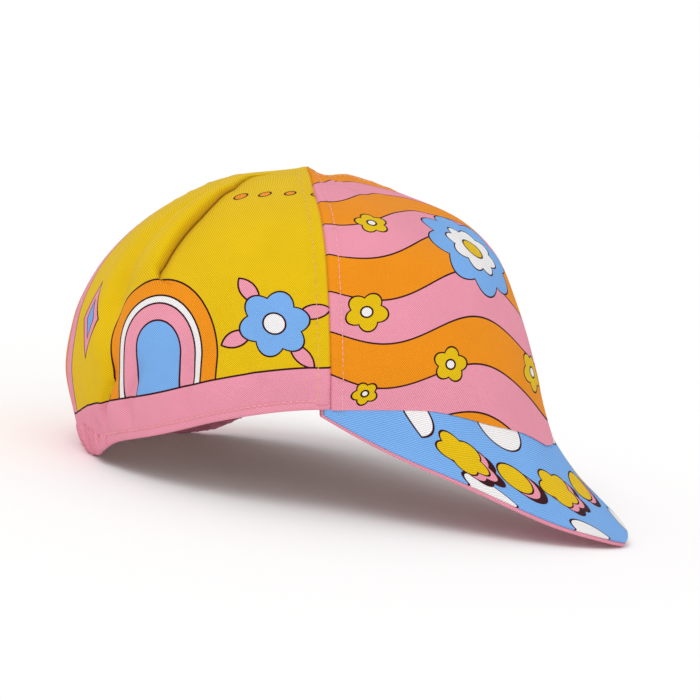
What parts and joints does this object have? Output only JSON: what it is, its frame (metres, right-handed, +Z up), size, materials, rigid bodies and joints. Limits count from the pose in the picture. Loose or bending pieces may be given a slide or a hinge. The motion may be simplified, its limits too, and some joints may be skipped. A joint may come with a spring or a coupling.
{
  "type": "cycling cap",
  "caption": "Soft cotton cycling cap with a rounded crown of sewn panels, a short drooping peak at the front and a gathered elastic casing at the back.",
  "frame": {"origin": "centre of the outline seen from above, on the surface the cap rests on", "axes": "+X to the wearer's left, -Y out over the peak, +Z up as it rests on a table"},
  "size_m": [0.1588, 0.2356, 0.1214],
  "materials": {
    "front_cloth": "matt twill, printed in orange and pink",
    "back_cloth": "matt twill, printed mostly in yellow",
    "pink_cloth": "matt twill, plain pink",
    "peak_cloth": "matt twill, printed mostly in blue"
  },
  "bodies": {
    "root": {"front_panel": "front_cloth", "back_panel_right": "back_cloth", "back_panel_left": "back_cloth", "hem_right": "pink_cloth", "hem_left": "pink_cloth", "elastic_band": "pink_cloth", "peak_top": "peak_cloth", "peak_under": "pink_cloth"}
  },
  "joints": []
}
